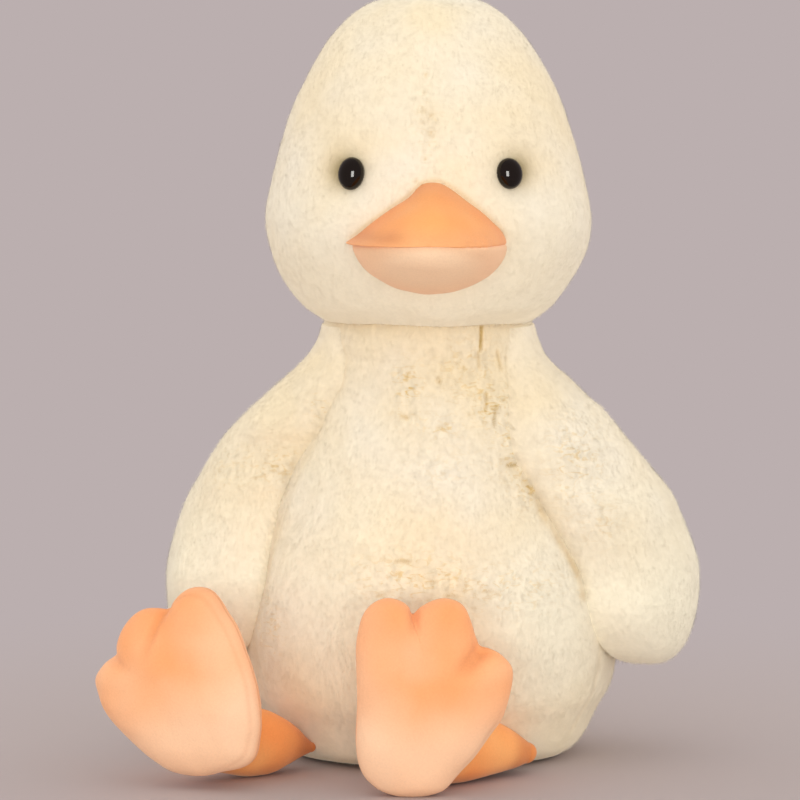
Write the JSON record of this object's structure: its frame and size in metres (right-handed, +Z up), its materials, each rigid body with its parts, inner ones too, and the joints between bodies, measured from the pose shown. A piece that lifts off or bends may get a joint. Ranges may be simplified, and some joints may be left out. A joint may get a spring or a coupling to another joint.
{
  "type": "plush duck toy",
  "caption": "Seated plush duck of cream pile fabric with a stuffed orange bill, legs and webbed feet, and hinged head, wings and legs.",
  "frame": {"origin": "middle of the flat seat, on the surface that the toy sits on", "axes": "+Z up, the duck faces -Y, and +X is its own left side"},
  "size_m": [0.2149, 0.1896, 0.2755],
  "materials": {
    "pile_fabric": "soft cream pile",
    "suedette": "brushed orange suedette",
    "eye_plastic": "polished black",
    "washer_plastic": "natural moulded",
    "fibre_filling": "loose polyester fibre",
    "pouch_cotton": "plain woven cotton",
    "pellets": "small round granules",
    "thread": "twisted thread"
  },
  "bodies": {
    "torso": {"torso_base_panel": "pile_fabric", "torso_front_panel": "pile_fabric", "torso_back_left_panel": "pile_fabric", "torso_back_right_panel": "pile_fabric", "torso_filling": "fibre_filling", "pellet_pouch": "pouch_cotton", "pellets": "pellets"},
    "neck": {"neck_thread": "thread"},
    "head": {"head_left_panel": "pile_fabric", "head_right_panel": "pile_fabric", "head_filling": "fibre_filling", "eye_left": "eye_plastic", "eye_right": "eye_plastic", "eye_washer_left": "washer_plastic", "eye_washer_right": "washer_plastic", "bill_upper_cover": "suedette", "bill_upper_filling": "fibre_filling", "bill_lower_cover": "suedette", "bill_lower_filling": "fibre_filling"},
    "wing_left": {"wing_left_outer_panel": "pile_fabric", "wing_left_inner_panel": "pile_fabric", "wing_left_filling": "fibre_filling"},
    "wing_right": {"wing_right_outer_panel": "pile_fabric", "wing_right_inner_panel": "pile_fabric", "wing_right_filling": "fibre_filling"},
    "tail": {"tail_cover": "pile_fabric", "tail_filling": "fibre_filling"},
    "leg_left": {"leg_left_cover": "suedette", "leg_left_filling": "fibre_filling"},
    "leg_right": {"leg_right_cover": "suedette", "leg_right_filling": "fibre_filling"},
    "foot_left": {"foot_left_sole_panel": "suedette", "foot_left_top_panel": "suedette", "foot_left_filling": "fibre_filling"},
    "foot_right": {"foot_right_sole_panel": "suedette", "foot_right_top_panel": "suedette", "foot_right_filling": "fibre_filling"}
  },
  "joints": [
    {"name": "neck_turn", "type": "hinge", "parent": "torso", "child": "neck", "pos_m": [0, 0, 0.146], "axis": [0, 0, 1], "range_deg": [-45, 45], "stiffness_Nm_per_rad": 0.1},
    {"name": "head_nod", "type": "hinge", "parent": "neck", "child": "head", "pos_m": [0, 0, 0.146], "axis": [1, 0, 0], "range_deg": [-12, 12], "stiffness_Nm_per_rad": 0.4},
    {"name": "wing_left_lift", "type": "hinge", "parent": "torso", "child": "wing_left", "pos_m": [0.0401, -0.004, 0.15], "axis": [0, -1, 0], "range_deg": [0, 65]},
    {"name": "wing_right_lift", "type": "hinge", "parent": "torso", "child": "wing_right", "pos_m": [-0.0401, -0.004, 0.15], "axis": [0, 1, 0], "range_deg": [0, 65]},
    {"name": "tail_flex", "type": "hinge", "parent": "torso", "child": "tail", "pos_m": [0, 0.06169, 0.038], "axis": [1, 0, 0], "range_deg": [-12, 12], "stiffness_Nm_per_rad": 0.05},
    {"name": "leg_left_swing", "type": "hinge", "parent": "torso", "child": "leg_left", "pos_m": [0.02905, -0.05085, 0.0105], "axis": [0.6293, -0.7771, 0], "range_deg": [0, 80]},
    {"name": "leg_right_swing", "type": "hinge", "parent": "torso", "child": "leg_right", "pos_m": [-0.04602, -0.03965, 0.0105], "axis": [0.5736, -0.8192, 0], "range_deg": [0, 80]},
    {"name": "foot_left_flex", "type": "hinge", "parent": "leg_left", "child": "foot_left", "pos_m": [0.00185, -0.07288, 0.012], "axis": [0.9994, 0.0349, 0], "range_deg": [-6, 50], "stiffness_Nm_per_rad": 0.05},
    {"name": "foot_right_flex", "type": "hinge", "parent": "leg_right", "child": "foot_right", "pos_m": [-0.07469, -0.05972, 0.012], "axis": [0.9397, -0.342, 0], "range_deg": [-6, 50], "stiffness_Nm_per_rad": 0.05}
  ]
}
